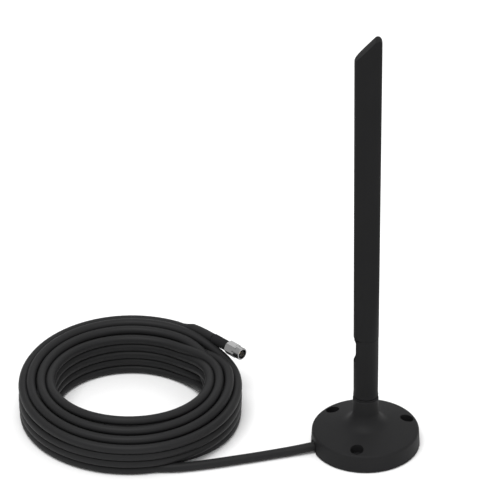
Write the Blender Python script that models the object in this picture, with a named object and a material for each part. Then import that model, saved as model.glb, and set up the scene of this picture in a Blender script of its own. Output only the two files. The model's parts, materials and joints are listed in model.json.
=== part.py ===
"""Stand antenna of a cellular signal booster: a folding paddle on a round screw-down base,
with a coiled low-loss coaxial lead that ends in a threaded plug.

All dimensions below are in millimetres; the meshes and places are scaled to metres on the way out.
The frame: origin at the centre of the base's underside, +Z up, the paddle's flat face towards -Y,
the lead leaving the base towards -X.
"""
import math

import bmesh
import bpy
from mathutils import Matrix, Vector

MM = 0.001
GAP = 0.3                      # clearance between pieces that touch

# --- base -------------------------------------------------------------------------------------
BASE_RADIUS = 35.1             # skirt, at the bottom
RIM_RADIUS = 34.6              # where the side wall turns into the rim's rounding
SKIRT_BOTTOM = 0.4
RIM_Z = 10.4
RIM_ROUND = 2.0
DOME_SLOPE = math.radians(13)
NECK_RADIUS = 8.4
NECK_TOP_RADIUS = 8.3
NECK_TOP_Z = 36.0
NECK_FILLET = 10.0
NECK_FILLET_Z = 26.0
WALL = 2.0
PLATE_Z = (1.5, 3.0)
PLATE_RADIUS = 32.6
PAD_Z = (0.0, 1.2)
PAD_RADIUS = 32.4
JACK_CAVITY_RADIUS = 6.0
NECK_SHOULDER_Z = 31.0
NECK_BORE_RADIUS = 3.6

MOUNT_CIRCLE = 28.2            # three fixing screws go down through the base
MOUNT_ANGLES = (18.0, 138.0, 258.0)
MOUNT_BOSS_RADIUS = 5.7
COUNTERBORE_RADIUS = 4.3
COUNTERBORE_FLOOR = 8.4
MOUNT_HOLE_RADIUS = 2.3
MOUNT_CLEARANCE_RADIUS = 2.7   # the same holes in the plate and the pad

PLATE_SCREW_CIRCLE = 24.5
PLATE_SCREW_ANGLES = (78.0, 228.0, 318.0)
PLATE_BOSS_RADIUS = 3.3
PILOT_RADIUS = 1.5

BALLAST_Z = (3.4, 9.4)
BALLAST_RADII = (8.5, 20.7)

# --- coaxial lead -----------------------------------------------------------------------------
CABLE_RADIUS = 3.05
EXIT_ANGLE = 196.0             # direction in which the lead leaves the base
EXIT_HEIGHT = 4.0
TUNNEL_HALF_WIDTH = 4.5
GROMMET_RADIUS = 4.2
GROMMET_SPAN = (29.2, 34.4)    # distances from the base's axis
COIL_CENTRE = (-151.8, 33.2)
COIL_RADII = (48.2, 72.5)
COIL_HEIGHT = 32.6
COIL_ROUND = 3.0
LEAD_ROUTE = (                 # free stretch from the base to the coil, x, y, z of its centreline
    (-33.36, -9.57, 4.0), (-46.0, -13.2, 3.4), (-58.0, -16.6, 3.15), (-72.0, -20.6, 3.1),
    (-86.0, -24.4, 3.1), (-99.0, -27.8, 3.1), (-111.0, -30.6, 3.1),
)
BASE_CABLE_ROUTE = (           # stretch inside the base, up to the antenna jack
    (-32.97, -9.45, 4.0), (-28.0, -8.03, 4.1), (-22.0, -6.3, 4.5), (-15.0, -4.3, 5.9),
    (-8.6, -2.5, 8.2), (-3.6, -1.0, 11.4), (-0.6, -0.2, 15.4), (0.0, 0.0, 19.2),
)

# --- plug on the lead's end, s = distance along its axis from where it leaves the coil ----------
PLUG_ANGLE = -45.5
PLUG_ORIGIN = (-102.66, 81.49, 31.0)
BOOT_SPAN = (6.9, 20.2)
BOOT_RADIUS = 3.4
NUT_BACK = 20.7
NUT_STEP = 29.3
NUT_FRONT = 33.4
NUT_FLATS = 8.0
NUT_COLLAR_RADIUS = 4.15
NUT_BORE_RADIUS = 3.3
NUT_LIP_RADIUS = 2.6

# --- antenna jack and plug in the neck ----------------------------------------------------------
JACK_THREAD_RADIUS = 3.17
JACK_TOP = 44.5
SEAL_RING_Z = (36.3, 37.4)
SEAL_RING_RADII = (5.6, 8.05)

# --- swivel fork and hinge ------------------------------------------------------------------------
FORK_BOTTOM_Z = 37.7
FORK_TOP_Z = 82.0
FORK_RADII = (7.88, 8.0)        # at the bottom and at the top
FORK_RECESS_RADIUS = 5.2
FORK_RECESS_TOP = 49.8
STEM_BORE_RADIUS = 2.75
STEM_BORE_TOP = 57.3
WIRE_X = 1.6
WIRE_RADIUS = 0.6
WIRE_BORE_RADIUS = 0.9
SLOT_HALF_WIDTH = 4.55
SLOT_BOTTOM_Z = 64.2
SLOT_ROUND = 1.8
SLOT_END_X = 3.6
PIVOT = (-2.6, 0.0, 76.4)
EAR_ROUND = FORK_TOP_Z - PIVOT[2]
TONGUE_HALF_THICKNESS = 4.25
TONGUE_LEFT = 3.7              # from the pivot
TONGUE_RIGHT = 5.8
TONGUE_DROP = 4.5
PIN_RADIUS = 1.5
PIN_HALF_LENGTH = 6.0
BUSH_RADIUS = 2.5

# --- paddle -----------------------------------------------------------------------------------------
BLADE_BOTTOM_Z = FORK_TOP_Z + GAP
BLADE_HALF_WIDTHS = (8.1, 8.8)     # at the root and at the tip
BLADE_HALF_DEPTHS = (7.8, 4.6)     # at the round root and on the flat paddle
BLADE_ROOT_END_Z = 134.0           # where the root has flattened
SLANT_START_Z = 287.2              # height of the slanted top at the left edge
SLANT = 1.1
TIP_ROUND = 2.5
SHELL_WALL = 1.4
CAVITY_BOTTOM_Z = 86.5
SEAM_HALF_GAP = 0.15           # half the gap between the two shells
SECTION_POINTS = 14                # along one half of the section

MATERIALS = {                      # base colour, metallic, roughness
    "black_plastic": ((0.022, 0.022, 0.023), 0.0, 0.55),
    "black_rubber": ((0.012, 0.012, 0.012), 0.0, 0.80),
    "cable_jacket": ((0.024, 0.024, 0.025), 0.0, 0.48),
    "nickel_plate": ((0.62, 0.61, 0.59), 1.0, 0.28),
    "steel": ((0.46, 0.46, 0.47), 1.0, 0.38),
    "gold_plate": ((0.78, 0.56, 0.24), 1.0, 0.25),
    "ptfe_white": ((0.82, 0.82, 0.80), 0.0, 0.45),
    "circuit_board": ((0.05, 0.16, 0.09), 0.0, 0.50),
    "copper": ((0.72, 0.38, 0.22), 1.0, 0.35),
    "foam": ((0.10, 0.10, 0.11), 0.0, 0.95),
}


# ---------------------------------------------------------------------------------- scene helpers
def clear_scene():
    for obj in list(bpy.data.objects):
        bpy.data.objects.remove(obj, do_unlink=True)


def make_materials():
    made = {}
    for name, (colour, metallic, roughness) in MATERIALS.items():
        material = bpy.data.materials.new(name)
        material.use_nodes = True
        shader = material.node_tree.nodes["Principled BSDF"]
        shader.inputs["Base Color"].default_value = (*colour, 1.0)
        shader.inputs["Metallic"].default_value = metallic
        shader.inputs["Roughness"].default_value = roughness
        made[name] = material
    return made


def add_axis(name, place, parent=None):
    """An empty on a joint's axis."""
    empty = bpy.data.objects.new(name, None)
    bpy.context.scene.collection.objects.link(empty)
    empty.location = Vector(place) * MM
    if parent:
        empty.parent = parent
        empty.location -= parent.location
    return empty


def add_piece(name, bm, material, axis=None, sharp=35.0):
    """Turn a bmesh in millimetres and world places into an object, with its origin on its axis."""
    bmesh.ops.remove_doubles(bm, verts=bm.verts, dist=1e-4)
    bmesh.ops.recalc_face_normals(bm, faces=bm.faces)
    bmesh.ops.scale(bm, vec=(MM, MM, MM), verts=bm.verts)
    origin = world_place(axis) if axis else Vector((0.0, 0.0, 0.0))
    bmesh.ops.translate(bm, vec=-origin, verts=bm.verts)
    mesh = bpy.data.meshes.new(name)
    bm.to_mesh(mesh)
    bm.free()
    mesh.shade_smooth()
    mesh.set_sharp_from_angle(angle=math.radians(sharp))
    mesh.materials.append(material)
    obj = bpy.data.objects.new(name, mesh)
    bpy.context.scene.collection.objects.link(obj)
    if axis:
        obj.parent = axis
    return obj


def world_place(axis):
    place = Vector(axis.location)
    while axis.parent:
        axis = axis.parent
        place += axis.location
    return place


def add_guide(name, bm):
    """A solid that only shapes other pieces."""
    obj = add_piece(name, bm, MATERIAL["foam"])
    obj.hide_render = True
    obj.display_type = "WIRE"
    return obj


def combine(obj, other, operation):
    modifier = obj.modifiers.new(f"{operation.lower()} {other.name}", "BOOLEAN")
    modifier.object = other
    modifier.operation = operation
    modifier.solver = "EXACT"


# ----------------------------------------------------------------------------------- mesh helpers
def arc(centre, radius, start, end, steps):
    """Points along an arc, angles in degrees."""
    angles = (math.radians(start + (end - start) * i / steps) for i in range(steps + 1))
    return [(centre[0] + radius * math.cos(a), centre[1] + radius * math.sin(a)) for a in angles]


def turned(profile, segments, matrix=None, closed=True):
    """Spin a profile of (radius, height) points about Z; an open one ends on the axis."""
    bm = bmesh.new()
    verts = [bm.verts.new((r, 0.0, z)) for r, z in profile]
    pairs = list(zip(verts, verts[1:]))
    if closed:
        pairs.append((verts[-1], verts[0]))
    edges = [bm.edges.new(pair) for pair in pairs]
    bmesh.ops.spin(bm, geom=verts + edges, cent=(0, 0, 0), axis=(0, 0, 1),
                   angle=2 * math.pi, steps=segments, use_merge=True)
    bmesh.ops.remove_doubles(bm, verts=bm.verts, dist=1e-4)
    bmesh.ops.recalc_face_normals(bm, faces=bm.faces)
    if matrix:
        bmesh.ops.transform(bm, matrix=matrix, verts=bm.verts)
    return bm


def rod(radius, low, high, segments=16, matrix=None):
    return turned([(0, low), (radius, low), (radius, high), (0, high)], segments, matrix, closed=False)


def tube(inner, outer, low, high, segments=24, matrix=None):
    return turned([(inner, low), (outer, low), (outer, high), (inner, high)], segments, matrix)


def extruded(outline, depth, matrix=None):
    """Extrude an (x, y) outline from z = 0 up to depth."""
    bm = bmesh.new()
    face = bm.faces.new([bm.verts.new((x, y, 0.0)) for x, y in outline])
    top = bmesh.ops.extrude_face_region(bm, geom=[face])
    raised = [item for item in top["geom"] if isinstance(item, bmesh.types.BMVert)]
    bmesh.ops.translate(bm, vec=(0, 0, depth), verts=raised)
    bmesh.ops.recalc_face_normals(bm, faces=bm.faces)
    if matrix:
        bmesh.ops.transform(bm, matrix=matrix, verts=bm.verts)
    return bm


def block(low, high):
    centre = [(a + b) / 2 for a, b in zip(low, high)]
    size = [b - a for a, b in zip(low, high)]
    bm = bmesh.new()
    bmesh.ops.create_cube(bm, size=1.0, matrix=Matrix.Translation(centre) @ Matrix.Diagonal((*size, 1.0)))
    return bm


def block_along(degrees, low, high):
    """Box with its length along a compass angle about Z."""
    bm = block(low, high)
    bmesh.ops.transform(bm, matrix=at_angle(degrees), verts=bm.verts)
    return bm


def merged(parts):
    """Several separate solids in one bmesh."""
    whole = bmesh.new()
    for part in parts:
        mesh = bpy.data.meshes.new("part")
        part.to_mesh(mesh)
        part.free()
        whole.from_mesh(mesh)
        bpy.data.meshes.remove(mesh)
    return whole


def at_angle(degrees, distance=0.0, height=0.0):
    """Matrix that carries +X geometry out to a distance along a compass angle about Z."""
    return Matrix.Rotation(math.radians(degrees), 4, "Z") @ Matrix.Translation((distance, 0, height))


# Turns for extruded outlines: (x, y, depth) becomes (x, -depth, y), or (depth, x, y).
UPRIGHT = Matrix.Rotation(math.radians(90), 4, "X")
ALONG_X = Matrix.Rotation(math.radians(90), 4, "Z") @ Matrix.Rotation(math.radians(90), 4, "X")


def smooth_route(points, spacing):
    """Even points along a Catmull-Rom curve through the given ones."""
    knots = [Vector(p) for p in points]
    knots = [2 * knots[0] - knots[1]] + knots + [2 * knots[-1] - knots[-2]]
    fine = []
    for a, b, c, d in zip(knots, knots[1:], knots[2:], knots[3:]):
        for i in range(20):
            t = i / 20
            fine.append(0.5 * (2 * b + (c - a) * t + (2 * a - 5 * b + 4 * c - d) * t * t
                               + (3 * b - a - 3 * c + d) * t ** 3))
    fine.append(knots[-2])
    lengths = [0.0]
    for a, b in zip(fine, fine[1:]):
        lengths.append(lengths[-1] + (b - a).length)
    count = max(2, round(lengths[-1] / spacing))
    route = []
    for i in range(count + 1):
        wanted = lengths[-1] * i / count
        k = min(range(len(lengths)), key=lambda j: abs(lengths[j] - wanted))
        route.append(fine[k])
    return route


def add_cable(name, points, radius, spacing, material, axis=None):
    """A cable stretch: a bevelled curve with filled ends."""
    route = smooth_route(points, spacing)
    origin = world_place(axis) if axis else Vector((0.0, 0.0, 0.0))
    curve = bpy.data.curves.new(name, "CURVE")
    curve.dimensions = "3D"
    curve.bevel_depth = radius * MM
    curve.bevel_resolution = 3
    curve.render_resolution_u = 0
    curve.use_fill_caps = True
    spline = curve.splines.new("POLY")
    spline.points.add(len(route) - 1)
    for point, place in zip(spline.points, route):
        point.co = (*(place * MM - origin), 1.0)
    curve.materials.append(material)
    obj = bpy.data.objects.new(name, curve)
    bpy.context.scene.collection.objects.link(obj)
    if axis:
        obj.parent = axis
    return obj


# --------------------------------------------------------------------------------------------- base
def dome_profile():
    """Outside of the base from the skirt over the rim and the dome up to the neck's top."""
    rim = arc((RIM_RADIUS - RIM_ROUND, RIM_Z), RIM_ROUND, 3, 90 - math.degrees(DOME_SLOPE), 6)
    fillet = arc((NECK_RADIUS + NECK_FILLET, NECK_FILLET_Z), NECK_FILLET,
                 270 - math.degrees(DOME_SLOPE), 180, 8)
    return [(BASE_RADIUS - 0.3, SKIRT_BOTTOM), (BASE_RADIUS, SKIRT_BOTTOM + 0.4)] + rim + fillet + [
        (NECK_TOP_RADIUS, NECK_TOP_Z - 0.4), (NECK_TOP_RADIUS - 0.35, NECK_TOP_Z)]


def cavity_profile():
    """Inside of the base: plate recess, dome underside, jack cavity and neck bore."""
    dome_low = (RIM_RADIUS - RIM_ROUND - 1.5, RIM_Z + 0.3)
    dome_high = (JACK_CAVITY_RADIUS + NECK_FILLET - 1.5, 14.2)
    return [
        (0, -2), (PLATE_RADIUS + GAP, -2), (PLATE_RADIUS + GAP, PLATE_Z[1] + GAP),
        (RIM_RADIUS - WALL, PLATE_Z[1] + GAP), (RIM_RADIUS - WALL - 0.2, RIM_Z - 1.4), dome_low,
        dome_high, (JACK_CAVITY_RADIUS + 3.0, 17.0), (JACK_CAVITY_RADIUS, 22.0),
        (JACK_CAVITY_RADIUS, NECK_SHOULDER_Z), (NECK_BORE_RADIUS, NECK_SHOULDER_Z),
        (NECK_BORE_RADIUS, NECK_TOP_Z + 2), (0, NECK_TOP_Z + 2),
    ]


def edge_channel(inner_end, half_width, low, high):
    """Straight channel for the lead, from a distance off the axis out through the base's edge."""
    return block_along(EXIT_ANGLE, (inner_end, -half_width, low), (BASE_RADIUS + 4, half_width, high))


def exit_tunnel():
    """Round-roofed way of the lead through the side wall."""
    half = TUNNEL_HALF_WIDTH
    outline = [(-half, -2), (half, -2)] + arc((0, EXIT_HEIGHT), half, 0, 180, 10)
    start = RIM_RADIUS - WALL - 5
    return extruded(outline, BASE_RADIUS + 4 - start, at_angle(EXIT_ANGLE, start) @ ALONG_X)


def mount_places():
    return [at_angle(angle, MOUNT_CIRCLE) for angle in MOUNT_ANGLES]


def plate_screw_places():
    return [at_angle(angle, PLATE_SCREW_CIRCLE) for angle in PLATE_SCREW_ANGLES]


def add_base_cover():
    outside = [(0, SKIRT_BOTTOM)] + dome_profile() + [(0, NECK_TOP_Z)]
    cover = add_piece("base_cover", turned(outside, 80, closed=False), MATERIAL["black_plastic"])
    bosses = [rod(MOUNT_BOSS_RADIUS, PLATE_Z[1] + GAP, 24, 20, place) for place in mount_places()]
    bosses += [rod(PLATE_BOSS_RADIUS, PLATE_Z[1] + GAP, 24, 16, place) for place in plate_screw_places()]
    boss_guide = add_guide("boss_guide", merged(bosses))
    cavity = add_guide("cavity_cutter", turned(cavity_profile(), 48, closed=False))
    combine(cavity, boss_guide, "DIFFERENCE")
    combine(cover, cavity, "DIFFERENCE")
    screw_hole = [(0, -1), (MOUNT_HOLE_RADIUS, -1), (MOUNT_HOLE_RADIUS, COUNTERBORE_FLOOR),
                  (COUNTERBORE_RADIUS, COUNTERBORE_FLOOR), (COUNTERBORE_RADIUS, 20), (0, 20)]
    holes = [turned(screw_hole, 24, place, closed=False) for place in mount_places()]
    holes += [rod(PILOT_RADIUS, 2, 9.5, 12, place) for place in plate_screw_places()]
    holes.append(exit_tunnel())
    combine(cover, add_guide("cover_holes_cutter", merged(holes)), "DIFFERENCE")


def add_base_discs():
    plate = add_piece("base_plate", rod(PLATE_RADIUS, *PLATE_Z, 48), MATERIAL["steel"])
    pad = add_piece("foot_pad", rod(PAD_RADIUS, *PAD_Z, 48), MATERIAL["black_rubber"])
    mount_holes = [rod(MOUNT_CLEARANCE_RADIUS, -1, 5, 20, place) for place in mount_places()]
    screw_holes = [rod(1.6, -1, 5, 16, place) for place in plate_screw_places()]
    slot = edge_channel(11.5, TUNNEL_HALF_WIDTH, -1, 5)
    combine(plate, add_guide("plate_cutter", merged(mount_holes + screw_holes + [slot])), "DIFFERENCE")
    mount_holes = [rod(MOUNT_CLEARANCE_RADIUS, -1, 5, 20, place) for place in mount_places()]
    head_holes = [rod(3.0, -1, 5, 16, place) for place in plate_screw_places()]
    slot = edge_channel(18.0, TUNNEL_HALF_WIDTH, -1, 5)
    combine(pad, add_guide("pad_cutter", merged(mount_holes + head_holes + [slot])), "DIFFERENCE")

    ballast = add_piece("ballast_ring", tube(*BALLAST_RADII, *BALLAST_Z, 48), MATERIAL["steel"])
    slot = edge_channel(0.0, TUNNEL_HALF_WIDTH, 0, 20)
    combine(ballast, add_guide("ballast_cutter", slot), "DIFFERENCE")

    screw = [(0, 0.35), (2.4, 0.35), (2.4, PLATE_Z[0] - GAP), (1.15, PLATE_Z[0] - GAP), (1.15, 8.6),
             (0, 9.2)]
    for number, place in enumerate(plate_screw_places(), 1):
        add_piece(f"plate_screw_{number}", turned(screw, 16, place, closed=False), MATERIAL["steel"])


def add_cable_hardware():
    outer, inner = GROMMET_RADIUS, CABLE_RADIUS + GAP
    to_exit = at_angle(EXIT_ANGLE, 0, EXIT_HEIGHT) @ Matrix.Rotation(math.radians(90), 4, "Y")
    grommet = add_piece("cable_grommet", tube(inner, outer, *GROMMET_SPAN, 28, to_exit),
                        MATERIAL["black_rubber"])
    floor = block((-50, -50, -10), (50, 50, 0.3))
    combine(grommet, add_guide("grommet_floor_cutter", floor), "DIFFERENCE")

    saddle_height = PLATE_Z[1] + GAP
    arch = arc((0, 4.6), CABLE_RADIUS + GAP, 180, 0, 10)
    cover = arc((0, 4.6), CABLE_RADIUS + GAP + 1.2, 0, 180, 10)
    outline = ([(-9.3, saddle_height), (-4.6, saddle_height), (-4.6, 4.6)] + arch[1:-1]
               + [(4.6, 4.6), (4.6, saddle_height), (9.3, saddle_height), (9.3, 4.6)]
               + [(5.3, 4.9)] + cover[1:-1] + [(-5.3, 4.9), (-9.3, 4.6)])
    clamp = add_piece("cable_clamp", extruded(outline, 4.6, at_angle(EXIT_ANGLE, 22.4) @ ALONG_X),
                      MATERIAL["nickel_plate"])
    places = [at_angle(EXIT_ANGLE) @ Matrix.Translation((24.7, side, 0)) for side in (-7.2, 7.2)]
    holes = merged([rod(1.35, 0, 8, 12, place) for place in places])
    combine(clamp, add_guide("clamp_cutter", holes), "DIFFERENCE")
    screw = [(0, saddle_height), (1.0, saddle_height), (1.0, 4.95), (1.9, 4.95), (1.9, 6.1), (0, 6.4)]
    for number, place in enumerate(places, 1):
        add_piece(f"clamp_screw_{number}", turned(screw, 12, place, closed=False), MATERIAL["steel"])
    add_cable("base_cable", BASE_CABLE_ROUTE, CABLE_RADIUS, 5.0, MATERIAL["cable_jacket"])


# ------------------------------------------------------------------------- antenna jack in the neck
def hexagon(flats):
    return arc((0, 0), flats / math.sqrt(3), 30, 330, 5)


def add_neck_jack():
    thread = JACK_THREAD_RADIUS
    body = [(2.2, 20.0), (3.2, 20.0), (3.2, 27.5), (5.4, 27.5), (5.4, 29.7), (thread, 29.7),
            (thread, JACK_TOP - 0.3), (thread - 0.3, JACK_TOP), (2.2, JACK_TOP)]
    add_piece("jack_body", turned(body, 32), MATERIAL["gold_plate"])
    add_piece("jack_insulator", tube(0.95, 1.9, 24.0, JACK_TOP - 0.6, 20), MATERIAL["ptfe_white"])
    add_piece("jack_contact", rod(0.65, 20.5, 40.7, 12), MATERIAL["gold_plate"])
    add_piece("jack_lock_washer", tube(3.5, 5.3, 30.0, 30.7), MATERIAL["steel"])
    nut = add_piece("jack_nut", extruded(hexagon(NUT_FLATS), 2.2, Matrix.Translation((0, 0, 36.3))),
                    MATERIAL["nickel_plate"])
    combine(nut, add_guide("jack_nut_cutter", rod(3.5, 34, 41, 24)), "DIFFERENCE")
    add_piece("neck_seal_ring", tube(*SEAL_RING_RADII, *SEAL_RING_Z, 40), MATERIAL["black_rubber"])
    coupling = [(3.5, 38.9), (4.5, 38.9), (4.85, 39.3), (4.85, 49.0), (4.5, 49.4), (2.75, 49.4),
                (2.75, 47.0), (3.5, 47.0)]
    add_piece("antenna_coupling_nut", turned(coupling, 32), MATERIAL["nickel_plate"])


# ----------------------------------------------------------------------------------- swivel and fork
def add_swivel(axis):
    low, high = FORK_RADII
    body = [(0, FORK_BOTTOM_Z), (low - 0.1, FORK_BOTTOM_Z), (low + 0.25, FORK_BOTTOM_Z + 0.35),
            (low + 0.1, FORK_BOTTOM_Z + 1.6), (low, FORK_BOTTOM_Z + 3.5), (high, SLOT_BOTTOM_Z - 3),
            (high, FORK_TOP_Z - 0.2), (high - 0.2, FORK_TOP_Z), (0, FORK_TOP_Z)]
    fork = add_piece("swivel_fork", turned(body, 40, closed=False), MATERIAL["black_plastic"], axis)
    bore = [(0, 30), (FORK_RECESS_RADIUS, 30), (FORK_RECESS_RADIUS, FORK_RECESS_TOP),
            (STEM_BORE_RADIUS, FORK_RECESS_TOP), (STEM_BORE_RADIUS, STEM_BORE_TOP), (0, STEM_BORE_TOP)]
    combine(fork, add_guide("fork_bore_cutter", turned(bore, 32, closed=False)), "DIFFERENCE")

    half = SLOT_HALF_WIDTH
    corner = half - SLOT_ROUND
    outline = (arc((-corner, SLOT_BOTTOM_Z + SLOT_ROUND), SLOT_ROUND, 180, 270, 5)
               + arc((corner, SLOT_BOTTOM_Z + SLOT_ROUND), SLOT_ROUND, 270, 360, 5)
               + [(half, FORK_TOP_Z + 5), (-half, FORK_TOP_Z + 5)])
    slot = extruded(outline, SLOT_END_X + 12, Matrix.Translation((-12, 0, 0)) @ ALONG_X)
    combine(fork, add_guide("fork_slot_cutter", slot), "DIFFERENCE")

    ear_corner = [(-12, FORK_TOP_Z + 3), (-12, PIVOT[2])] + arc(PIVOT[::2], EAR_ROUND, 180, 90, 8)
    ear_corner.append((PIVOT[0], FORK_TOP_Z + 3))
    bm = extruded(ear_corner, 24, Matrix.Translation((0, 12, 0)) @ UPRIGHT)
    combine(fork, add_guide("ear_corner_cutter", bm), "DIFFERENCE")

    across = Matrix.Translation((PIVOT[0], 0, PIVOT[2])) @ Matrix.Rotation(math.radians(90), 4, "X")
    reach = PIN_HALF_LENGTH + GAP
    pin_hole = rod(PIN_RADIUS + GAP, -reach, reach, 20, across)
    wire_hole = rod(WIRE_BORE_RADIUS, STEM_BORE_TOP - 3, SLOT_BOTTOM_Z + 3, 12,
                    Matrix.Translation((WIRE_X, 0, 0)))
    combine(fork, add_guide("fork_drill_cutter", merged([pin_hole, wire_hole])), "DIFFERENCE")

    r, end = PIN_RADIUS, PIN_HALF_LENGTH
    pin = [(0, -end), (r - 0.3, -end), (r, -end + 0.3), (r, end - 0.3), (r - 0.3, end), (0, end)]
    add_piece("hinge_pin", turned(pin, 20, across, closed=False), MATERIAL["steel"], axis)

    plug = [(2.0, 44.8), (3.2, 44.8), (3.2, 46.7), (2.45, 46.7), (2.45, 57.0), (2.0, 57.0)]
    add_piece("antenna_plug_body", turned(plug, 24), MATERIAL["nickel_plate"], axis)
    add_piece("antenna_plug_insulator", tube(0.8, 1.7, 45.0, 56.6, 16), MATERIAL["ptfe_white"], axis)
    add_piece("antenna_plug_pin", rod(0.5, 41.0, 56.8, 12), MATERIAL["gold_plate"], axis)
    wire = ((WIRE_X, 0, 57.6), (WIRE_X, 0, 64.0), (WIRE_X, 0, 70.8))
    add_cable("feed_cable_lower", wire, WIRE_RADIUS, 3.5, MATERIAL["cable_jacket"], axis)


# --------------------------------------------------------------------------------------------- paddle
def ease(value):
    value = min(1.0, max(0.0, value))
    return value * value * (3 - 2 * value)


def blade_half_width(z):
    share = (z - BLADE_BOTTOM_Z) / (SLANT_START_Z - BLADE_BOTTOM_Z)
    return BLADE_HALF_WIDTHS[0] + (BLADE_HALF_WIDTHS[1] - BLADE_HALF_WIDTHS[0]) * min(1.0, share)


def blade_half_depth(z):
    share = ease((z - BLADE_BOTTOM_Z) / (BLADE_ROOT_END_Z - BLADE_BOTTOM_Z))
    return BLADE_HALF_DEPTHS[0] + (BLADE_HALF_DEPTHS[1] - BLADE_HALF_DEPTHS[0]) * share


def section_power(z):
    """2 is an ellipse, more is a rounded rectangle."""
    return 2.0 + 1.4 * ease((z - BLADE_BOTTOM_Z) / (BLADE_ROOT_END_Z - BLADE_BOTTOM_Z))


def blade_section(z, inset):
    """Points (x, y) around the paddle's section."""
    width = blade_half_width(z) - inset
    depth = blade_half_depth(z) - inset
    power = 2.0 / section_power(z)
    points = []
    for i in range(2 * SECTION_POINTS):
        c = math.cos(math.pi * i / SECTION_POINTS)
        s = math.sin(math.pi * i / SECTION_POINTS)
        points.append((width * math.copysign(abs(c) ** power, c), depth * math.copysign(abs(s) ** power, s)))
    return points


def lofted(stations, inset):
    """Solid through the paddle's sections at the given heights."""
    bm = bmesh.new()
    rings = [[bm.verts.new((x, y, z)) for x, y in blade_section(z, inset)] for z in stations]
    for low, high in zip(rings, rings[1:]):
        for i in range(len(low)):
            j = (i + 1) % len(low)
            bm.faces.new((low[i], low[j], high[j], high[i]))
    bm.faces.new(rings[0])
    bm.faces.new(rings[-1])
    bmesh.ops.recalc_face_normals(bm, faces=bm.faces)
    return bm


def above_slant(lower, corner):
    """Everything above the slanted top, which is lowered by an amount and rounded at its high corner."""
    slope_angle = math.degrees(math.atan(SLANT))
    width = BLADE_HALF_WIDTHS[1]
    start = SLANT_START_Z - lower
    centre_x = width - (lower + corner)
    centre_z = start + SLANT * (centre_x + width) - corner / math.cos(math.radians(slope_angle))
    tip = arc((centre_x, centre_z), corner, 90 + slope_angle, 8, 7)
    outline = [(-14, start + SLANT * (width - 14))] + tip + [(14, centre_z - 2), (14, 330), (-14, 330)]
    return extruded(outline, 24, Matrix.Translation((0, 12, 0)) @ UPRIGHT)


def tongue_outline():
    """Hinge tongue in x and z, up into the root of the paddle."""
    x, z = PIVOT[0], PIVOT[2]
    angles = [math.radians(15 * i) for i in range(7)]
    left = [(x - TONGUE_LEFT * math.cos(a), z - TONGUE_DROP * math.sin(a)) for a in angles]
    right = [(x + TONGUE_RIGHT * math.sin(a), z - TONGUE_DROP * math.cos(a)) for a in angles[1:]]
    top = BLADE_BOTTOM_Z + 1.5
    return left + right + [(x + TONGUE_RIGHT, top), (-7.2, top), (-7.7, FORK_TOP_Z), (x - TONGUE_LEFT, 78.2)]


def add_paddle(axis):
    root = [BLADE_BOTTOM_Z + (BLADE_ROOT_END_Z - BLADE_BOTTOM_Z) * i / 7 for i in range(8)]
    across = Matrix.Translation((PIVOT[0], 0, PIVOT[2])) @ Matrix.Rotation(math.radians(90), 4, "X")
    pin_hole = rod(BUSH_RADIUS + GAP, -12, 12, 24, across)
    wire_hole = rod(WIRE_BORE_RADIUS, 68, CAVITY_BOTTOM_Z + 2, 12, Matrix.Translation((WIRE_X, 0, 0)))
    drill = add_guide("blade_drill_cutter", merged([pin_hole, wire_hole]))
    thickness = 2 * TONGUE_HALF_THICKNESS
    tongue_mesh = extruded(tongue_outline(), thickness, Matrix.Translation((0, thickness / 2, 0)) @ UPRIGHT)
    tongue = add_guide("blade_tongue", tongue_mesh)
    cavity_stations = [CAVITY_BOTTOM_Z] + root[2:] + [215.0, 310.0]
    cavity = add_guide("blade_cavity", lofted(cavity_stations, SHELL_WALL))
    combine(cavity, add_guide("cavity_top_cutter", above_slant(3.0, 1.5)), "DIFFERENCE")
    top = add_guide("blade_top_cutter", above_slant(0.0, TIP_ROUND))
    for name, side in (("blade_front_shell", -1), ("blade_rear_shell", 1)):
        shell = add_piece(name, lofted(root + [215.0, 310.0], 0.0), MATERIAL["black_plastic"], axis, 28)
        combine(shell, tongue, "UNION")
        combine(shell, top, "DIFFERENCE")
        combine(shell, cavity, "DIFFERENCE")
        combine(shell, drill, "DIFFERENCE")
        ends = sorted((-side * 12, side * SEAM_HALF_GAP))
        half = block((-14, ends[0], 60), (14, ends[1], 330))
        combine(shell, add_guide(f"{name}_half_cutter", half), "DIFFERENCE")
    bush = tube(PIN_RADIUS + GAP, BUSH_RADIUS, -TONGUE_HALF_THICKNESS, TONGUE_HALF_THICKNESS, 24, across)
    add_piece("hinge_bush", bush, MATERIAL["ptfe_white"], axis)


def ribbon(path, width, y_low, y_high):
    """Flat strip along a path of (x, z) corners with right-angled bends."""
    half = width / 2
    left, right = [], []
    for i, (x, z) in enumerate(path):
        before = path[max(0, i - 1)]
        after = path[min(len(path) - 1, i + 1)]
        steps = [(x - before[0], z - before[1]), (after[0] - x, after[1] - z)]
        normals = [(-dz / math.hypot(dx, dz), dx / math.hypot(dx, dz)) for dx, dz in steps if dx or dz]
        nx = sum(n[0] for n in normals)
        nz = sum(n[1] for n in normals)
        if len(normals) == 2 and normals[0] == normals[1]:
            nx, nz = normals[0]
        left.append((x + half * nx, z + half * nz))
        right.append((x - half * nx, z - half * nz))
    return extruded(left + right[::-1], y_high - y_low, Matrix.Translation((0, y_high, 0)) @ UPRIGHT)


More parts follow.
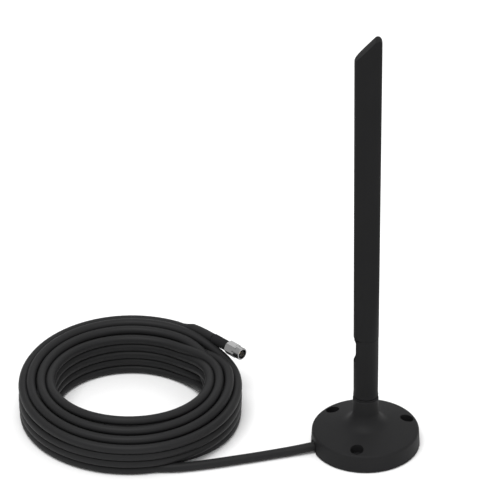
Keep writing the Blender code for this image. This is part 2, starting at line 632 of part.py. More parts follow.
def add_paddle_inside(axis):
    board = [(-5.6, 93.5), (5.6, 93.5), (5.6, 289.0), (4.4, 289.0), (-5.6, 279.0)]
    board_mesh = extruded(board, 1.0, Matrix.Translation((0, 0.5, 0)) @ UPRIGHT)
    add_piece("antenna_board", board_mesh, MATERIAL["circuit_board"], axis)

    low_band = [(-3.0, 112.0), (-3.0, 190.0)]
    for i in range(7):
        z = 190.0 + 10.0 * i
        side = 3.4 if i % 2 == 0 else -3.4
        low_band += [(side, z), (side, z + 10.0)]
    add_piece("low_band_element", ribbon(low_band, 1.8, -1.05, -0.8), MATERIAL["copper"], axis)
    high_band = [(1.4, 112.0), (1.4, 168.0), (4.0, 168.0), (4.0, 140.0)]
    add_piece("high_band_element", ribbon(high_band, 1.6, -1.05, -0.8), MATERIAL["copper"], axis)
    ground = [(-4.8, 94.5), (-0.6, 94.5), (-0.6, 99.0), (3.6, 99.0), (3.6, 94.5), (4.8, 94.5),
              (4.8, 108.5), (-4.8, 108.5)]
    ground_mesh = extruded(ground, 0.25, Matrix.Translation((0, -0.8, 0)) @ UPRIGHT)
    add_piece("ground_element", ground_mesh, MATERIAL["copper"], axis)
    wire = ((WIRE_X, 0, 74.2), (WIRE_X, 0, 80.0), (WIRE_X, 0, 86.5), (WIRE_X, -2.0, 92.0),
            (WIRE_X, -2.2, 98.0), (WIRE_X, -2.1, 104.0))
    add_cable("feed_cable_upper", wire, WIRE_RADIUS, 3.5, MATERIAL["cable_jacket"], axis)
    for name, z in (("lower_foam_pad", 148.0), ("upper_foam_pad", 236.0)):
        add_piece(name, block((-4.0, 0.8, z), (4.0, 2.5, z + 18.0)), MATERIAL["foam"], axis)


# -------------------------------------------------------------------------- lead, coil and its plug
def plug_matrix():
    """Takes a solid turned about Z to the plug's axis."""
    return (Matrix.Translation(PLUG_ORIGIN) @ Matrix.Rotation(math.radians(PLUG_ANGLE), 4, "Z")
            @ Matrix.Rotation(math.radians(90), 4, "Y"))


def plug_point(s):
    angle = math.radians(PLUG_ANGLE)
    return (PLUG_ORIGIN[0] + s * math.cos(angle), PLUG_ORIGIN[1] + s * math.sin(angle), PLUG_ORIGIN[2])


def add_lead():
    add_cable("lead_cable", LEAD_ROUTE, CABLE_RADIUS, 2.5 * 2 * CABLE_RADIUS, MATERIAL["cable_jacket"])
    inner, outer = COIL_RADII
    r = COIL_ROUND
    corners = (((outer - r, r), 270), ((outer - r, COIL_HEIGHT - r), 0),
               ((inner + r, COIL_HEIGHT - r), 90), ((inner + r, r), 180))
    profile = [point for centre, start in corners for point in arc(centre, r, start, start + 90, 3)]
    coil = add_piece("cable_coil", turned(profile, 56, Matrix.Translation((*COIL_CENTRE, 0))),
                     MATERIAL["cable_jacket"])
    channel = block((-20, -5.3, 0.4), (5.3, 5.3, 45.0))
    bmesh.ops.transform(channel, matrix=plug_matrix(), verts=channel.verts)
    combine(coil, add_guide("coil_channel_cutter", channel), "DIFFERENCE")
    tail = [plug_point(s) for s in (0.8, 3.6, BOOT_SPAN[0] - GAP)]
    add_cable("lead_tail", tail, CABLE_RADIUS, 3.0, MATERIAL["cable_jacket"])


def add_plug(axis):
    to_plug = plug_matrix()
    start, end = BOOT_SPAN
    boot = [(0, start), (BOOT_RADIUS - 0.2, start), (BOOT_RADIUS, start + 0.5), (BOOT_RADIUS, end),
            (2.6, end), (2.6, 11.0), (0, 11.0)]
    add_piece("plug_boot", turned(boot, 24, to_plug, closed=False), MATERIAL["black_rubber"])
    add_piece("plug_ferrule", tube(1.75, 2.3, 11.4, 20.0, 24, to_plug), MATERIAL["nickel_plate"])
    body = [(0, 12.0), (1.4, 12.0), (1.4, 20.4), (2.25, 20.4), (2.25, 24.2), (3.0, 24.2), (3.0, 25.4),
            (2.3, 25.4), (2.3, 28.8), (2.0, 28.8), (2.0, 24.6), (0.8, 24.6), (0.8, 22.0), (0, 22.0)]
    add_piece("plug_body", turned(body, 24, to_plug, closed=False), MATERIAL["nickel_plate"])
    add_piece("plug_snap_ring", tube(2.55, 3.0, 23.3, 23.9, 24, to_plug), MATERIAL["steel"])
    add_piece("plug_gasket", tube(2.6, 3.0, 25.7, 26.4, 24, to_plug), MATERIAL["black_rubber"])
    add_piece("plug_insulator", tube(0.8, 1.7, 24.9, 28.4, 20, to_plug), MATERIAL["ptfe_white"])
    add_piece("plug_pin", rod(0.46, 22.4, 31.0, 12, to_plug), MATERIAL["gold_plate"])

    to_nut = to_plug @ Matrix.Translation((0, 0, NUT_BACK))
    hexagon_part = extruded(hexagon(NUT_FLATS), NUT_STEP - NUT_BACK, to_nut)
    nut = add_piece("plug_coupling_nut", hexagon_part, MATERIAL["nickel_plate"], axis)
    step, front, r = NUT_STEP - NUT_BACK, NUT_FRONT - NUT_BACK, NUT_COLLAR_RADIUS
    chamfer = [(0, -1), (3.9, -1), (3.9, 0), (5.0, 0.7), (5.0, step - 0.6), (4.5, step - 0.1),
               (4.5, 9), (0, 9)]
    combine(nut, add_guide("nut_chamfer", turned(chamfer, 32, to_nut, closed=False)), "INTERSECT")
    collar = [(0, step - 2), (r, step - 2), (r, front - 0.3), (r - 0.3, front), (0, front)]
    combine(nut, add_guide("nut_collar", turned(collar, 32, to_nut, closed=False)), "UNION")
    bore = [(0, -2), (NUT_LIP_RADIUS, -2), (NUT_LIP_RADIUS, 2.3), (NUT_BORE_RADIUS, 2.3),
            (NUT_BORE_RADIUS, front + 2), (0, front + 2)]
    combine(nut, add_guide("nut_bore_cutter", turned(bore, 28, to_nut, closed=False)), "DIFFERENCE")


clear_scene()
MATERIAL = make_materials()
swivel_axis = add_axis("antenna_swivel_axis", (0, 0, FORK_BOTTOM_Z))
tilt_axis = add_axis("blade_tilt_axis", PIVOT, swivel_axis)
nut_axis = add_axis("coupling_nut_axis", plug_point((NUT_BACK + NUT_FRONT) / 2))
add_base_cover()
add_base_discs()
add_cable_hardware()
add_neck_jack()
add_swivel(swivel_axis)
add_paddle(tilt_axis)
add_paddle_inside(tilt_axis)
add_lead()
add_plug(nut_axis)
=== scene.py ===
"""Looks of the booster's stand antenna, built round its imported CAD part.

Lengths in the shape functions are millimetres, as on the drawing, and become metres in the meshes.
"""
import json
import math

import bmesh
import bpy
from mathutils import Matrix, Vector

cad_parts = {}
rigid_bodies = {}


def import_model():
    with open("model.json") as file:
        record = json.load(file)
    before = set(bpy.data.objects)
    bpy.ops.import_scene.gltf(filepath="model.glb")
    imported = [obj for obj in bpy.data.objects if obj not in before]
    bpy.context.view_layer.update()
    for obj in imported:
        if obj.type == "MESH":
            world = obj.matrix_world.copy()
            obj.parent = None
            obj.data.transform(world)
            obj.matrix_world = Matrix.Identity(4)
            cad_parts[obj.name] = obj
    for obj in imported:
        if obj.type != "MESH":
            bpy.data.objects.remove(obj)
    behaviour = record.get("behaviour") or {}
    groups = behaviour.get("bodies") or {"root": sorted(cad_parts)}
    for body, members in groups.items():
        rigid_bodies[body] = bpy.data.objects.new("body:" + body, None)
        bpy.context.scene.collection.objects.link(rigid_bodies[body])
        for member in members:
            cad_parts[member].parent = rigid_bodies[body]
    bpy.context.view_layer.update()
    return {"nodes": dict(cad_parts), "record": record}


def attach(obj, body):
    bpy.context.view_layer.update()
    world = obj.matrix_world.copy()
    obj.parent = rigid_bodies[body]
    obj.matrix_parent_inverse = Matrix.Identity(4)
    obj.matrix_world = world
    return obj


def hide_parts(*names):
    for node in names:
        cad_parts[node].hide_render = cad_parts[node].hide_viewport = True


MM = 0.001

# --- camera -----------------------------------------------------------------------------------
CAMERA_PLACE = (-0.0741, -3.8203, 2.5579)
CAMERA_TILT = 57.75
CAMERA_ROLL = -0.13
CAMERA_LENS = 512.9

# --- stage --------------------------------------------------------------------------------------
WORLD_STRENGTH = 0.70
FLOOR_HALF_SIZE = 12.0
FLOOR_DROP = 0.0002            # keeps the floor just clear of the part's underside
LIGHT_SIZE = 2.4
LIGHT_TARGET = (-0.08, 0.0, 0.1)
LIGHTS = (                     # name, place and power
    ("key_light", (-0.7, -1.3, 3.6), 105.0),
    ("fill_light", (2.4, -1.6, 2.4), 14.0),
    ("rim_light", (0.4, 2.6, 2.6), 14.0),
)

# --- lead and coil ------------------------------------------------------------------------------
CABLE_DIAMETER = 6.1
LEAD_ROUTE = (                 # metres, the part's own route with its end led to the coil
    (-0.03336, -0.00957, 0.0040), (-0.0460, -0.0132, 0.0034), (-0.0580, -0.0166, 0.00315),
    (-0.0720, -0.0206, 0.0031), (-0.0860, -0.0244, 0.0031), (-0.0990, -0.0278, 0.0031),
    (-0.1110, -0.0304, 0.0031), (-0.1230, -0.0322, 0.0031),
)
COIL_CENTRE = (-151.8, 33.2)
JOIN_ANGLE = -75.5             # where the lead runs into the coil's bottom outer turn
LEAVE_ANGLE = 44.5             # where the last turn leaves the coil for the plug
PLUG_ORIGIN = (-102.66, 81.49, 31.0)
PLUG_ANGLE = -45.5
TAIL_LENGTH = 7.6
# Places of the turns in the coil's section, in winding order: radius and height at the near
# side, at the left and right, and at the far side.
TURNS = (
    ((67.6, 68.9, 68.9), (3.05, 3.05, 3.05)),
    ((62.3, 62.4, 62.3), (3.05, 3.05, 3.05)),
    ((56.5, 56.6, 56.5), (3.05, 3.05, 3.05)),
    ((51.0, 51.0, 51.2), (3.05, 3.05, 3.05)),
    ((51.3, 51.3, 51.5), (9.4, 9.0, 8.65)),
    ((57.0, 57.0, 57.0), (8.9, 9.0, 9.4)),
    ((62.8, 62.8, 62.8), (9.2, 9.4, 11.5)),
    ((69.0, 69.2, 69.2), (8.9, 9.0, 10.5)),
    ((69.6, 69.4, 69.5), (14.45, 15.2, 18.3)),
    ((63.3, 63.3, 63.3), (15.6, 17.2, 21.0)),
    ((57.2, 57.2, 57.2), (14.6, 15.2, 15.8)),
    ((51.0, 51.1, 51.2), (16.0, 15.2, 14.2)),
    ((51.4, 51.4, 51.5), (22.7, 21.3, 19.8)),
    ((51.5, 51.6, 51.4), (29.7, 27.4, 25.4)),
    ((57.7, 57.7, 57.6), (26.0, 27.4, 28.5)),
    ((57.4, 57.4, 57.4), (20.3, 21.4, 22.2)),
    ((63.9, 64.2, 63.9), (22.9, 26.8, 30.0)),
    ((69.8, 69.4, 69.6), (19.9, 24.5, 28.8)),
)
CROSSING = (56.0, 6.0)         # where each turn shifts to the next one's place
FIRST_CROSSING = (-22.0, -72.0)
POINTS_PER_TURN = 72
LAST_TURN_DIP = 2.6            # how much lower the last turn starts, under the plug's nut
DIP_SPAN = 150.0               # degrees over which it comes back up
DIP_START_SHARE = 0.6          # of a crossing's width, over which the dip comes in
LEAVE_RADIUS = 68.9            # of the last turn where it leaves the coil
LEAVE_SPAN = 60.0              # degrees over which it gets there
ROUTE_SPACING = 4.5            # between points of the lead's curve

# --- base cover -------------------------------------------------------------------------------------
BASE_RADIUS = 35.1
RIM_RADIUS = 34.6
SKIRT_BOTTOM = 0.4
RIM_Z = 10.4
RIM_ROUND = 2.0
DOME_SLOPE = 13.0
NECK_RADIUS = 8.4
NECK_TOP_RADIUS = 8.3
NECK_TOP_Z = 36.0
NECK_FILLET = 10.0
NECK_FILLET_Z = 26.0
NECK_BORE_RADIUS = 3.6
JACK_CAVITY_RADIUS = 6.0
JACK_CAVITY_TOP = 31.0
PLATE_RECESS = (32.9, 3.3)     # radius and height
COVER_WALL = ((32.4, 3.3), (32.2, 9.0))    # inside of the side wall above the plate, radius and height
DOME_UNDERSIDE = ((31.1, 10.7), (14.5, 14.2), (9.0, 17.0), (6.0, 22.0))
MOUNT_CIRCLE = 28.2
MOUNT_ANGLES = (18.0, 138.0, 258.0)
MOUNT_BOSS_RADIUS = 5.7
COUNTERBORE_RADIUS = 4.3
COUNTERBORE_FLOOR = 8.4
MOUNT_HOLE_RADIUS = 2.3
PLATE_SCREW_CIRCLE = 24.5
PLATE_SCREW_ANGLES = (78.0, 228.0, 318.0)
PLATE_BOSS_RADIUS = 3.3
PILOT_RADIUS = 1.5
EXIT_ANGLE = 196.0
EXIT_HEIGHT = 4.0
TUNNEL_HALF_WIDTH = 4.5

# --- paddle ----------------------------------------------------------------------------------------
BLADE_BOTTOM = 82.12
ROOT_END = 134.0
HALF_WIDTHS = (8.1, 8.8)
HALF_DEPTHS = (7.8, 4.6)
LAST_STATION = 280.0           # highest level section under the slanted top
SLANT_START = 287.2
SLANT = 1.1
TIP_ROUND = 2.5
EDGE_ROUND = 0.9
SEAM = 0.05                    # half the gap between the two shells
SHELL_WALL = 1.4
CAVITY_BOTTOM = 86.5
CAVITY_DROP = 5.0              # of the cavity's slanted top under the paddle's
PIVOT = (-2.6, 76.4)           # x and z
TONGUE_HALF_THICKNESS = 4.25
TONGUE_LEFT = 3.7
TONGUE_RIGHT = 5.8
TONGUE_DROP = 4.5
BUSH_HOLE_RADIUS = 2.8
WIRE_X = 1.6
WIRE_HOLE_RADIUS = 0.9


# ------------------------------------------------------------------------------------ materials
def procedural(name, colour, metallic, roughness, specular=0.5, spread=0.15, grain=900.0, bump=0.02):
    """Principled material with a fine grain in its colour, roughness and height."""
    material = bpy.data.materials.new(name)
    material.use_nodes = True
    nodes, links = material.node_tree.nodes, material.node_tree.links
    shader = nodes["Principled BSDF"]
    shader.inputs["Metallic"].default_value = metallic
    shader.inputs["Specular IOR Level"].default_value = specular
    place = nodes.new("ShaderNodeTexCoord")
    broad = nodes.new("ShaderNodeTexNoise")
    broad.inputs["Scale"].default_value = grain / 20
    broad.inputs["Detail"].default_value = 4.0
    fine = nodes.new("ShaderNodeTexNoise")
    fine.inputs["Scale"].default_value = grain
    fine.inputs["Detail"].default_value = 2.0
    links.new(place.outputs["Object"], broad.inputs["Vector"])
    links.new(place.outputs["Object"], fine.inputs["Vector"])
    tint = nodes.new("ShaderNodeMix")
    tint.data_type = "RGBA"
    tint.inputs["A"].default_value = (*[c * (1 - spread) for c in colour], 1.0)
    tint.inputs["B"].default_value = (*[c * (1 + spread) for c in colour], 1.0)
    links.new(broad.outputs["Fac"], tint.inputs["Factor"])
    links.new(tint.outputs["Result"], shader.inputs["Base Color"])
    rough = nodes.new("ShaderNodeMapRange")
    rough.inputs["To Min"].default_value = max(0.02, roughness - 0.06)
    rough.inputs["To Max"].default_value = min(1.0, roughness + 0.06)
    links.new(fine.outputs["Fac"], rough.inputs["Value"])
    links.new(rough.outputs["Result"], shader.inputs["Roughness"])
    height = nodes.new("ShaderNodeBump")
    height.inputs["Strength"].default_value = bump
    height.inputs["Distance"].default_value = 0.0002
    links.new(fine.outputs["Fac"], height.inputs["Height"])
    links.new(height.outputs["Normal"], shader.inputs["Normal"])
    return material


def make_materials():
    return {
        "black_plastic": procedural("black_plastic", (0.0100, 0.0100, 0.0104), 0.0, 0.55, specular=0.07),
        "black_rubber": procedural("black_rubber", (0.0120, 0.0120, 0.0125), 0.0, 0.80, specular=0.1),
        "cover_plastic": procedural("cover_plastic", (0.0140, 0.0140, 0.0145), 0.0, 0.55, specular=0.08),
        "cable_jacket": procedural("cable_jacket", (0.0145, 0.0145, 0.0150), 0.0, 0.50, specular=0.12),
        "nickel_plate": procedural("nickel_plate", (0.34, 0.34, 0.34), 1.0, 0.26, spread=0.12),
        "steel": procedural("steel", (0.42, 0.42, 0.43), 1.0, 0.38, spread=0.08),
        "gold_plate": procedural("gold_plate", (0.78, 0.56, 0.24), 1.0, 0.25, spread=0.05),
        "ptfe_white": procedural("ptfe_white", (0.78, 0.78, 0.76), 0.0, 0.45, spread=0.03),
        "circuit_board": procedural("circuit_board", (0.04, 0.14, 0.08), 0.0, 0.50),
        "copper": procedural("copper", (0.70, 0.36, 0.20), 1.0, 0.35, spread=0.10),
        "foam": procedural("foam", (0.08, 0.08, 0.09), 0.0, 0.95, grain=400.0, bump=0.4),
    }


# ------------------------------------------------------------------------------------- mesh helpers
def arc(centre, radius, start, end, steps):
    """Points along an arc, angles in degrees."""
    angles = (math.radians(start + (end - start) * i / steps) for i in range(steps + 1))
    return [(centre[0] + radius * math.cos(a), centre[1] + radius * math.sin(a)) for a in angles]


def at_angle(degrees, distance):
    """Matrix that carries +X geometry out to a distance along an angle about Z from +X."""
    return Matrix.Rotation(math.radians(degrees), 4, "Z") @ Matrix.Translation((distance, 0, 0))


def turned(profile, segments, matrix=None, closed=True):
    """Spin a profile of (radius, height) points about Z; an open one ends on the axis."""
    bm = bmesh.new()
    verts = [bm.verts.new((r, 0.0, z)) for r, z in profile]
    pairs = list(zip(verts, verts[1:]))
    if closed:
        pairs.append((verts[-1], verts[0]))
    edges = [bm.edges.new(pair) for pair in pairs]
    bmesh.ops.spin(bm, geom=verts + edges, cent=(0, 0, 0), axis=(0, 0, 1),
                   angle=2 * math.pi, steps=segments, use_merge=True)
    if matrix:
        bmesh.ops.transform(bm, matrix=matrix, verts=bm.verts)
    return bm


def rod(radius, low, high, segments, matrix):
    return turned([(0, low), (radius, low), (radius, high), (0, high)], segments, matrix, closed=False)


def extruded(outline, depth, matrix):
    """Extrude an (x, y) outline from z = 0 up to depth."""
    bm = bmesh.new()
    face = bm.faces.new([bm.verts.new((x, y, 0.0)) for x, y in outline])
    top = bmesh.ops.extrude_face_region(bm, geom=[face])
    raised = [item for item in top["geom"] if isinstance(item, bmesh.types.BMVert)]
    bmesh.ops.translate(bm, vec=(0, 0, depth), verts=raised)
    bmesh.ops.transform(bm, matrix=matrix, verts=bm.verts)
    return bm


def merged(parts):
    """Several separate solids in one bmesh."""
    whole = bmesh.new()
    for part in parts:
        mesh = bpy.data.meshes.new("part")
        part.to_mesh(mesh)
        part.free()
        whole.from_mesh(mesh)
        bpy.data.meshes.remove(mesh)
    return whole


def carve(target, cutter, operation="DIFFERENCE"):
    """Applies a Boolean to the target's mesh and removes the cutter."""
    modifier = target.modifiers.new(operation, "BOOLEAN")
    modifier.object, modifier.operation, modifier.solver = cutter, operation, "EXACT"
    bpy.context.view_layer.update()
    result = target.evaluated_get(bpy.context.evaluated_depsgraph_get())
    shape = bpy.data.meshes.new_from_object(result)
    target.modifiers.clear()
    target.data = shape
    bpy.data.objects.remove(cutter, do_unlink=True)


def soften(obj, sharp):
    """Smooth shading, with edges kept sharp over an angle in degrees."""
    obj.data.shade_smooth()
    obj.data.set_sharp_from_angle(angle=math.radians(sharp))


def add_piece(name, bm, material, sharp=35.0):
    bmesh.ops.remove_doubles(bm, verts=bm.verts, dist=1e-4)
    bmesh.ops.recalc_face_normals(bm, faces=bm.faces)
    bmesh.ops.scale(bm, vec=(MM, MM, MM), verts=bm.verts)
    mesh = bpy.data.meshes.new(name)
    bm.to_mesh(mesh)
    bm.free()
    mesh.materials.append(material)
    obj = bpy.data.objects.new(name, mesh)
    bpy.context.scene.collection.objects.link(obj)
    soften(obj, sharp)
    return obj


# --------------------------------------------------------------------------------------------- cable
def between(near, side, far, angle):
    """A value given at the near side, left and right, and far side, at any angle round the coil."""
    s = math.sin(math.radians(angle))
    return side + (far - near) / 2 * s + ((far + near) / 2 - side) * s * s


def slot_place(index, angle):
    radii, heights = TURNS[index]
    return between(*radii, angle), between(*heights, angle)


def smooth_step(value):
    value = min(1.0, max(0.0, value))
    return value * value * (3 - 2 * value)


def coil_points():
    """Centreline of the turns from where the lead joins to where the tail leaves, going clockwise."""
    points = []
    count = len(TURNS)
    total = 360.0 * (count - 1) + (JOIN_ANGLE - LEAVE_ANGLE) % 360.0
    steps = round(total / 360.0 * POINTS_PER_TURN)
    for k in range(steps + 1):
        travelled = total * k / steps
        angle = JOIN_ANGLE - travelled
        index, shift = turn_at(travelled)
        radius, height = slot_place(index, angle)
        if shift > 0 and index + 1 < count:
            other = slot_place(index + 1, angle)
            radius += (other[0] - radius) * shift
            height += (other[1] - height) * shift
        height -= LAST_TURN_DIP * last_turn_dip(travelled)
        if index == count - 1:
            done = smooth_step((travelled - (total - LEAVE_SPAN)) / LEAVE_SPAN)
            radius += (LEAVE_RADIUS - radius) * done
            height += (PLUG_ORIGIN[2] - height) * done
        a = math.radians(angle)
        points.append((COIL_CENTRE[0] + radius * math.cos(a),
                       COIL_CENTRE[1] + radius * math.sin(a), height))
    return points


def last_turn_dip(travelled):
    """Rises to nearly 1 just after the last turn begins and is back at 0 after DIP_SPAN."""
    begins = (JOIN_ANGLE - CROSSING[0]) % 360.0 + 360.0 * (len(TURNS) - 2)
    width = CROSSING[0] - CROSSING[1]
    if travelled < begins:
        return 0.0
    on_it = travelled - begins
    return smooth_step(on_it / (width * DIP_START_SHARE)) * (1 - smooth_step(on_it / DIP_SPAN))


def turn_at(travelled):
    """Which place of TURNS the cable is in after this many degrees, and how far it has shifted on."""
    start = (JOIN_ANGLE - CROSSING[0]) % 360.0
    width = CROSSING[0] - CROSSING[1]
    first = (JOIN_ANGLE - FIRST_CROSSING[0]) % 360.0
    if travelled < start + 360.0:
        return 0, smooth_step((travelled - first) / (FIRST_CROSSING[0] - FIRST_CROSSING[1]))
    index = int((travelled - start) // 360.0)
    return index, smooth_step((travelled - start - 360.0 * index) / width)


def smooth_route(knots, spacing):
    """Even points along a Catmull-Rom curve through the knots."""
    knots = [Vector(p) for p in knots]
    knots = [2 * knots[0] - knots[1]] + knots + [2 * knots[-1] - knots[-2]]
    fine = []
    for a, b, c, d in zip(knots, knots[1:], knots[2:], knots[3:]):
        for i in range(12):
            t = i / 12
            fine.append(0.5 * (2 * b + (c - a) * t + (2 * a - 5 * b + 4 * c - d) * t * t
                               + (3 * b - a - 3 * c + d) * t ** 3))
    fine.append(knots[-2])
    route = [fine[0]]
    left = spacing
    for a, b in zip(fine, fine[1:]):
        step = (b - a).length
        while step >= left:
            a = a + (b - a) * (left / step)
            route.append(a)
            step = (b - a).length
            left = spacing
        left -= step
    if (route[-1] - fine[-1]).length > spacing * 0.3:
        route.append(fine[-1])
    return route


def cable_centreline():
    lead = [Vector(p) / MM for p in LEAD_ROUTE]
    coil = coil_points()
    heading = math.radians(PLUG_ANGLE)
    x, y, z = PLUG_ORIGIN
    tail = [(x + s * math.cos(heading), y + s * math.sin(heading), z) for s in (2.5, 5.0, TAIL_LENGTH)]
    return smooth_route(lead + coil + tail, ROUTE_SPACING)


def add_cable(material):
    route = [p * MM for p in cable_centreline()]
    curve = bpy.data.curves.new("coaxial_lead", "CURVE")
    curve.dimensions = "3D"
    curve.bevel_depth = CABLE_DIAMETER / 2 * MM
    curve.bevel_resolution = 6
    curve.use_fill_caps = True
    spline = curve.splines.new("POLY")
    spline.points.add(len(route) - 1)
    for point, place in zip(spline.points, route):
        point.co = (*place, 1.0)
    curve.materials.append(material)
    cable = bpy.data.objects.new("coaxial_lead", curve)
    bpy.context.scene.collection.objects.link(cable)
    length = sum((b - a).length for a, b in zip(route, route[1:]))
    return cable, route, length


# ----------------------------------------------------------------------------------------- base cover
def outside_profile():
    """Outside of the base from the skirt over the rim and the dome up to the neck's top."""
    rim = arc((RIM_RADIUS - RIM_ROUND, RIM_Z), RIM_ROUND, 3, 90 - DOME_SLOPE, 12)
    fillet = arc((NECK_RADIUS + NECK_FILLET, NECK_FILLET_Z), NECK_FILLET, 270 - DOME_SLOPE, 180, 16)
    dome = [(rim[-1][0] + (fillet[0][0] - rim[-1][0]) * i / 6,
             rim[-1][1] + (fillet[0][1] - rim[-1][1]) * i / 6) for i in range(1, 6)]
    return [(BASE_RADIUS - 0.3, SKIRT_BOTTOM), (BASE_RADIUS, SKIRT_BOTTOM + 0.4)] + rim + dome + fillet + [
        (NECK_TOP_RADIUS, NECK_TOP_Z - 0.4), (NECK_TOP_RADIUS - 0.35, NECK_TOP_Z)]


def inside_profile():
    """Inside of the base: plate recess, dome underside, jack cavity and neck bore."""
    radius, height = PLATE_RECESS
    return [(0, -2), (radius, -2), (radius, height), *COVER_WALL, *DOME_UNDERSIDE,
            (JACK_CAVITY_RADIUS, JACK_CAVITY_TOP), (NECK_BORE_RADIUS, JACK_CAVITY_TOP),
            (NECK_BORE_RADIUS, NECK_TOP_Z + 2), (0, NECK_TOP_Z + 2)]


def add_base(material):
    """The cover as a smooth turned shell with its bosses, screw recesses and lead exit."""
    mounts = [at_angle(angle, MOUNT_CIRCLE) for angle in MOUNT_ANGLES]
    screws = [at_angle(angle, PLATE_SCREW_CIRCLE) for angle in PLATE_SCREW_ANGLES]
    outside = [(0, SKIRT_BOTTOM)] + outside_profile() + [(0, NECK_TOP_Z)]
    cover = add_piece("base_cover_skin", turned(outside, 128, closed=False), material)
    bosses = [rod(MOUNT_BOSS_RADIUS, PLATE_RECESS[1], 24, 32, place) for place in mounts]
    bosses += [rod(PLATE_BOSS_RADIUS, PLATE_RECESS[1], 24, 24, place) for place in screws]
    hollow = add_piece("hollow", turned(inside_profile(), 96, closed=False), material)
    carve(hollow, add_piece("bosses", merged(bosses), material))
    carve(cover, hollow)
    recess = [(0, -1), (MOUNT_HOLE_RADIUS, -1), (MOUNT_HOLE_RADIUS, COUNTERBORE_FLOOR),
              (COUNTERBORE_RADIUS, COUNTERBORE_FLOOR), (COUNTERBORE_RADIUS, 20), (0, 20)]
    half = TUNNEL_HALF_WIDTH
    tunnel = [(-half, -2), (half, -2)] + arc((0, EXIT_HEIGHT), half, 0, 180, 20)
    start = RIM_RADIUS - 7.0
    on_its_side = Matrix.Rotation(math.radians(90), 4, "Z") @ Matrix.Rotation(math.radians(90), 4, "X")
    along = at_angle(EXIT_ANGLE, start) @ on_its_side
    holes = [turned(recess, 40, place, closed=False) for place in mounts]
    holes += [rod(PILOT_RADIUS, 2, 9.5, 16, place) for place in screws]
    holes.append(extruded(tunnel, BASE_RADIUS + 4 - start, along))
    carve(cover, add_piece("holes", merged(holes), material))
    soften(cover, 35.0)
    return cover


# --------------------------------------------------------------------------------------------- paddle
def blade_section(z, inset, count):
    share = min(1.0, (z - BLADE_BOTTOM) / (SLANT_START - BLADE_BOTTOM))
    width = HALF_WIDTHS[0] + (HALF_WIDTHS[1] - HALF_WIDTHS[0]) * share - inset
    root = smooth_step((z - BLADE_BOTTOM) / (ROOT_END - BLADE_BOTTOM))
    depth = HALF_DEPTHS[0] + (HALF_DEPTHS[1] - HALF_DEPTHS[0]) * root - inset
    power = 2.0 / (2.0 + 1.4 * root)
    points = []
    for i in range(count + 1):
        c, s = math.cos(math.pi * i / count), math.sin(math.pi * i / count)
        points.append((width * math.copysign(abs(c) ** power, c), depth * max(0.0, s) ** power))
    return points


def tip_height(x, drop):
    """Height of the slanted top, with its high corner rounded."""
    width = HALF_WIDTHS[1]
    angle = math.atan(SLANT)
    centre_x = width - TIP_ROUND
    centre_z = SLANT_START + SLANT * (centre_x + width) - TIP_ROUND / math.cos(angle)
    if x > centre_x - TIP_ROUND * math.sin(angle):
        return centre_z + math.sqrt(max(0.0, TIP_ROUND ** 2 - (x - centre_x) ** 2)) - drop
    return SLANT_START + SLANT * (x + width) - drop


def blade_half(side, seam):
    """One shell of the paddle; side -1 is the front."""
    count = 40
    bm = bmesh.new()
    rings = []
    stations = [BLADE_BOTTOM + (ROOT_END - BLADE_BOTTOM) * i / 16 for i in range(17)]
    stations += [160.0, 200.0, 240.0, 270.0, LAST_STATION]
    for z in stations:
        rings.append([(x, max(seam, y), z) for x, y in blade_section(z, 0.0, count)])
    for share in (0.5, 0.8, 0.93):
        ring = blade_section(SLANT_START, 0.0, count)
        rings.append([(x, max(seam, y), LAST_STATION + share * (tip_height(x, EDGE_ROUND) - LAST_STATION))
                      for x, y in ring])
    for step in range(5):
        turn = math.radians(90 * step / 4)
        inset, drop = EDGE_ROUND * (1 - math.cos(turn)), EDGE_ROUND * (1 - math.sin(turn))
        ring = blade_section(SLANT_START, inset, count)
        rings.append([(x, max(seam, y), tip_height(x, drop)) for x, y in ring])
    made = []
    for ring in rings:
        outer = [bm.verts.new((x, side * y, z)) for x, y, z in ring]
        inner = [bm.verts.new((x, side * seam, z)) for x, y, z in ring[1:-1]]
        made.append((outer, inner))
    for (low, low_in), (high, high_in) in zip(made, made[1:]):
        for j in range(count):
            bm.faces.new((low[j], low[j + 1], high[j + 1], high[j]))
        lower, upper = [low[0]] + low_in + [low[-1]], [high[0]] + high_in + [high[-1]]
        for j in range(count):
            bm.faces.new((lower[j], lower[j + 1], upper[j + 1], upper[j]))
    for outer, inner in (made[0], made[-1]):
        line = [outer[0]] + inner + [outer[-1]]
        for j in range(count):
            corners = [outer[j], outer[j + 1], line[j + 1], line[j]]
            bm.faces.new(list(dict.fromkeys(corners)))
    return bm


def blade_cavity():
    """Room for the board, with a slanted top."""
    bm = bmesh.new()
    rings = []
    for z in (CAVITY_BOTTOM, 95.0, 105.0, 115.0, 125.0, ROOT_END, LAST_STATION):
        half = blade_section(z, SHELL_WALL, 20)
        rings.append([(x, y, z) for x, y in half] + [(x, -y, z) for x, y in reversed(half[1:-1])])
    top = SLANT_START - CAVITY_DROP + SLANT * HALF_WIDTHS[1]
    rings.append([(x, y, top + SLANT * x) for x, y, _ in rings[-1]])
    made = [[bm.verts.new(place) for place in ring] for ring in rings]
    for low, high in zip(made, made[1:]):
        for j in range(len(low)):
            k = (j + 1) % len(low)
            bm.faces.new((low[j], low[k], high[k], high[j]))
    bm.faces.new(made[0])
    bm.faces.new(made[-1])
    return bm


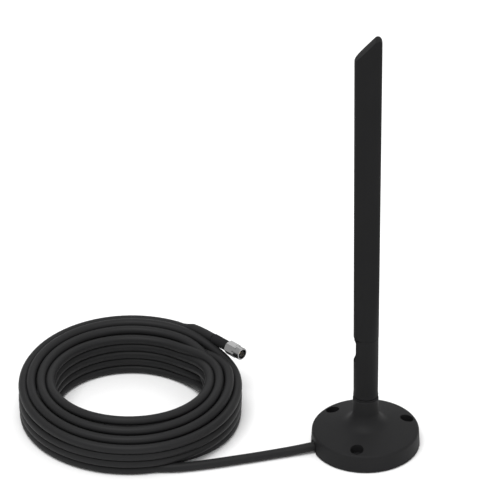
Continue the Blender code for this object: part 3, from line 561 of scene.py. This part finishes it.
def tongue_outline():
    """Hinge tongue in x and z, up into the root of the paddle."""
    x, z = PIVOT
    angles = [math.radians(7.5 * i) for i in range(13)]
    left = [(x - TONGUE_LEFT * math.cos(a), z - TONGUE_DROP * math.sin(a)) for a in angles]
    right = [(x + TONGUE_RIGHT * math.sin(a), z - TONGUE_DROP * math.cos(a)) for a in angles[1:]]
    top = BLADE_BOTTOM + 1.5
    return left + right + [(x + TONGUE_RIGHT, top), (-7.2, top), (-7.7, BLADE_BOTTOM - 0.2),
                           (x - TONGUE_LEFT, 78.2)]


def add_blade(material):
    upright = Matrix.Rotation(math.radians(90), 4, "X")
    across = Matrix.Translation((PIVOT[0], 0, PIVOT[1])) @ upright
    shells = []
    for name, node, side in (("front_shell_skin", "blade_front_shell", -1),
                             ("rear_shell_skin", "blade_rear_shell", 1)):
        shell = add_piece(name, blade_half(side, SEAM), material)
        far_side = TONGUE_HALF_THICKNESS if side > 0 else -SEAM
        tongue = extruded(tongue_outline(), TONGUE_HALF_THICKNESS - SEAM,
                          Matrix.Translation((0, far_side, 0)) @ upright)
        carve(shell, add_piece("tongue", tongue, material), "UNION")
        carve(shell, add_piece("cavity", blade_cavity(), material))
        drills = [rod(BUSH_HOLE_RADIUS, -12, 12, 32, across),
                  rod(WIRE_HOLE_RADIUS, 68, CAVITY_BOTTOM + 2, 16, Matrix.Translation((WIRE_X, 0, 0)))]
        carve(shell, add_piece("drills", merged(drills), material))
        soften(shell, 40.0)
        shells.append((shell, node))
    return shells


# ---------------------------------------------------------------------------------------------- stage
def add_camera():
    camera = bpy.data.cameras.new("main_camera")
    camera.lens = CAMERA_LENS
    camera.sensor_width = 36.0
    camera.clip_start = 0.1
    camera.clip_end = 60.0
    obj = bpy.data.objects.new("main_camera", camera)
    obj.location = CAMERA_PLACE
    tilt = Matrix.Rotation(math.radians(CAMERA_TILT), 4, "X")
    obj.rotation_euler = (tilt @ Matrix.Rotation(math.radians(CAMERA_ROLL), 4, "Z")).to_euler()
    bpy.context.scene.collection.objects.link(obj)
    bpy.context.scene.camera = obj


def add_stage():
    world = bpy.data.worlds.new("studio")
    world.use_nodes = True
    background = world.node_tree.nodes["Background"]
    background.inputs["Color"].default_value = (1.0, 1.0, 1.0, 1.0)
    background.inputs["Strength"].default_value = WORLD_STRENGTH
    bpy.context.scene.world = world
    bpy.context.scene.view_settings.view_transform = "Standard"
    mesh = bpy.data.meshes.new("floor")
    bm = bmesh.new()
    bmesh.ops.create_grid(bm, x_segments=1, y_segments=1, size=FLOOR_HALF_SIZE)
    bm.to_mesh(mesh)
    bm.free()
    floor = bpy.data.objects.new("floor", mesh)
    floor.location = (0.0, 0.0, -FLOOR_DROP)
    material = procedural("white_sweep", (0.93, 0.93, 0.93), 0.0, 0.9, specular=0.0, spread=0.004,
                          grain=40.0, bump=0.0)
    mesh.materials.append(material)
    bpy.context.scene.collection.objects.link(floor)
    for name, place, power in LIGHTS:
        light = bpy.data.lights.new(name, "AREA")
        light.size = LIGHT_SIZE
        light.energy = power
        obj = bpy.data.objects.new(name, light)
        obj.location = place
        obj.rotation_euler = (Vector(LIGHT_TARGET) - Vector(place)).to_track_quat("-Z", "Y").to_euler()
        bpy.context.scene.collection.objects.link(obj)


# ------------------------------------------------------------------------------------------- assembly
for obj in list(bpy.data.objects):
    bpy.data.objects.remove(obj, do_unlink=True)
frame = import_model()
materials = make_materials()
add_camera()
add_stage()

slots = {sub["node"]: sub["material_slot"] for sub in frame["record"]["subparts"]}
for node, obj in frame["nodes"].items():
    obj.data.materials.clear()
    obj.data.materials.append(materials[slots[node]])

cable, route, cable_length = add_cable(materials["cable_jacket"])
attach(cable, "base")
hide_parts("lead_cable", "cable_coil", "lead_tail")

cover = add_base(materials["cover_plastic"])
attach(cover, "base")
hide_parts("base_cover")
for shell, node in add_blade(materials["black_plastic"]):
    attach(shell, "blade")
    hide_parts(node)
